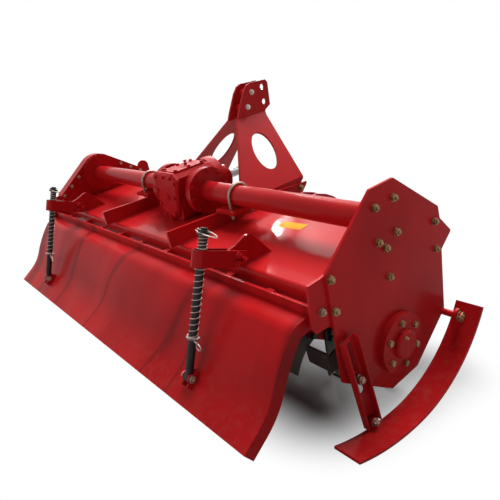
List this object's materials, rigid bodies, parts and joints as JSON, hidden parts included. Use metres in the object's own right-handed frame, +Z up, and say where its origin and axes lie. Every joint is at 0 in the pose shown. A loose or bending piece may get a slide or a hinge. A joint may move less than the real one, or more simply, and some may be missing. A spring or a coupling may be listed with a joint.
{
  "type": "rotary tiller",
  "caption": "Three-point mounted rotary tiller: a driven rotor of curved blades under a hood, with an A-frame mast, centre gearbox, sprung levelling board and depth skids.",
  "frame": {"origin": "on the floor at the middle of the machine's box, parked leaning back on its blades and skids", "axes": "+X to the machine's right along its working width, +Y forward to the tractor, +Z up"},
  "size_m": [2.22, 0.96, 1.0716],
  "materials": {
    "red_paint": "gloss",
    "zinc_steel": "satin",
    "black_steel": "satin",
    "spring_steel": "satin"
  },
  "bodies": {
    "frame": {"cross_tube_right": "red_paint", "cross_tube_left": "red_paint", "side_plate_right": "red_paint", "gear_case": "red_paint", "gear_case_cover": "red_paint", "hood": "red_paint", "hinge_rod": "zinc_steel", "front_beam": "red_paint", "rear_angle": "red_paint", "hinge_plate_right": "red_paint", "hinge_plate_left": "red_paint", "mast_spacers": "red_paint", "gearbox_case": "red_paint", "gearbox_rear_cover": "red_paint", "gearbox_lid": "red_paint", "input_housing": "red_paint", "bearing_housing": "red_paint", "rail_right": "red_paint", "rail_left": "red_paint", "clamp_plate_right": "red_paint", "clamp_plate_left": "red_paint", "u_bolt_right": "zinc_steel", "u_bolt_left": "zinc_steel", "mast_plate_right": "red_paint", "mast_plate_left": "red_paint", "hitch_lugs_right": "red_paint", "hitch_lugs_left": "red_paint", "rod_strap_right": "red_paint", "rod_strap_left": "red_paint", "rod_gusset_right": "red_paint", "rod_gusset_left": "red_paint"},
    "rod_right": {"rod_right": "black_steel", "lower_spring_right": "spring_steel", "upper_spring_right": "spring_steel"},
    "skid_right": {"skid_right": "red_paint"},
    "strut_right": {"strut_right": "red_paint"},
    "rod_left": {"rod_left": "black_steel", "lower_spring_left": "spring_steel", "upper_spring_left": "spring_steel"},
    "skid_left": {"skid_left": "red_paint"},
    "strut_left": {"strut_left": "red_paint"},
    "rotor": {"rotor_shaft": "red_paint", "blades": "black_steel"},
    "input": {"input_shaft": "zinc_steel"},
    "board": {"board": "red_paint", "rod_lug_right": "red_paint", "rod_lug_left": "red_paint"}
  },
  "joints": [
    {"name": "rotor_spin", "type": "hinge", "parent": "frame", "child": "rotor", "pos_m": [0, 0.08256, 0.23637], "axis": [1, 0, 0], "continuous": true},
    {"name": "input_spin", "type": "hinge", "parent": "frame", "child": "input", "pos_m": [0, 0.26054, 0.68109], "axis": [0, 0.9673, 0.2538], "continuous": true},
    {"name": "board_hinge", "type": "hinge", "parent": "frame", "child": "board", "pos_m": [0, -0.24901, 0.40474], "axis": [1, 0, 0], "range_deg": [-22, 0]},
    {"name": "rod_pivot_right", "type": "hinge", "parent": "board", "child": "rod_right", "pos_m": [0.65, -0.44151, 0.14541], "axis": [1, 0, 0], "range_deg": [0, 3.3], "deforming": ["lower_spring_right"]},
    {"name": "skid_pivot_right", "type": "hinge", "parent": "frame", "child": "skid_right", "pos_m": [1.05, 0.31515, 0.27981], "axis": [1, 0, 0], "range_deg": [-6, 12]},
    {"name": "strut_pivot_right", "type": "hinge", "parent": "skid_right", "child": "strut_right", "pos_m": [1.012, -0.05118, 0.03173], "axis": [1, 0, 0], "range_deg": [-5.9, 3]},
    {"name": "rod_pivot_left", "type": "hinge", "parent": "board", "child": "rod_left", "pos_m": [-0.65, -0.44151, 0.14541], "axis": [1, 0, 0], "range_deg": [0, 3.3], "deforming": ["lower_spring_left"]},
    {"name": "skid_pivot_left", "type": "hinge", "parent": "frame", "child": "skid_left", "pos_m": [-1.05, 0.31515, 0.27981], "axis": [1, 0, 0], "range_deg": [-6, 12]},
    {"name": "strut_pivot_left", "type": "hinge", "parent": "skid_left", "child": "strut_left", "pos_m": [-1.012, -0.05118, 0.03173], "axis": [1, 0, 0], "range_deg": [-5.9, 3]}
  ],
  "couplings": [
    {"joint": "input_spin", "follows": "rotor_spin", "ratio": -2.5},
    {"joint": "rod_pivot_right", "follows": "board_hinge", "ratio": -0.146},
    {"joint": "strut_pivot_right", "follows": "skid_pivot_right", "ratio": -0.485},
    {"joint": "rod_pivot_left", "follows": "board_hinge", "ratio": -0.146},
    {"joint": "strut_pivot_left", "follows": "skid_pivot_left", "ratio": -0.485}
  ]
}
